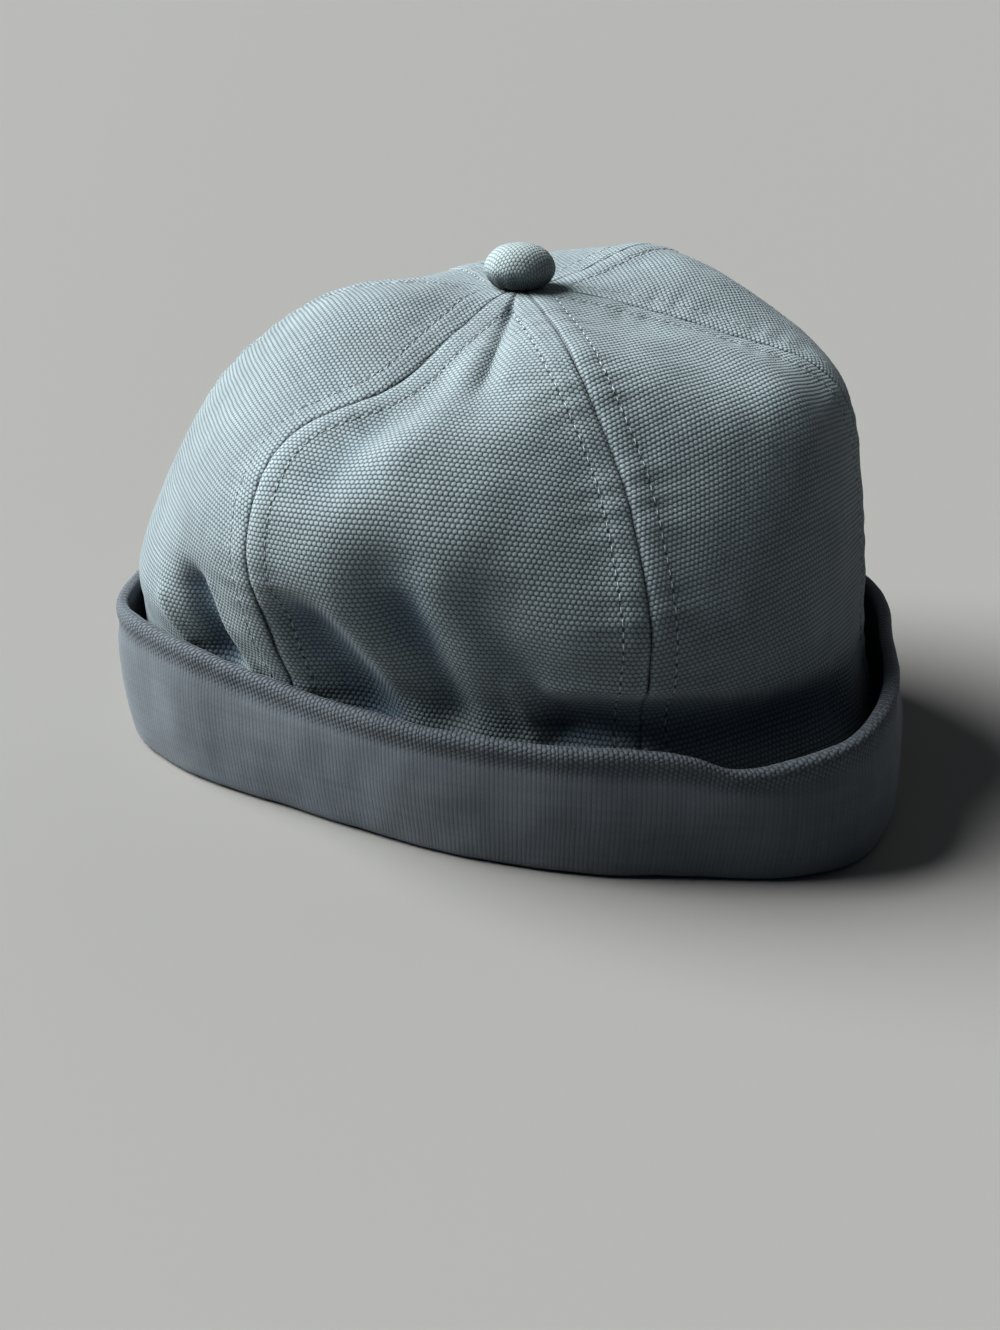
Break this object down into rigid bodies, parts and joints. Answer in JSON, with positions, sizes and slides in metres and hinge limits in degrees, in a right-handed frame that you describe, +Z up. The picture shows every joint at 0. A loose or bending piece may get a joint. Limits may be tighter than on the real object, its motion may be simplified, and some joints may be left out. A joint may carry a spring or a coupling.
{
  "type": "docker cap",
  "caption": "Brimless canvas cap with a panelled crown, a covered button on top and a soft cuff turned up all round, at rest on its cuff.",
  "frame": {"origin": "middle of the cap's bounding box in plan, on the surface the cuff rests on", "axes": "+Z up from the cuff to the button, +X along the cap's length towards the end called the front, +Y to the wearer's left"},
  "size_m": [0.2234, 0.1696, 0.13],
  "materials": {
    "crown_canvas": "slate blue-grey cotton duck, matt plain weave",
    "cuff_canvas": "slate grey cotton duck folded double, matt plain weave",
    "button_canvas": "slate blue-grey cotton duck stretched over a domed button"
  },
  "bodies": {
    "root": {"crown_front_left": "crown_canvas", "crown_left": "crown_canvas", "crown_back_left": "crown_canvas", "crown_back_right": "crown_canvas", "crown_right": "crown_canvas", "crown_front_right": "crown_canvas", "cuff": "cuff_canvas", "button": "button_canvas"}
  },
  "joints": []
}
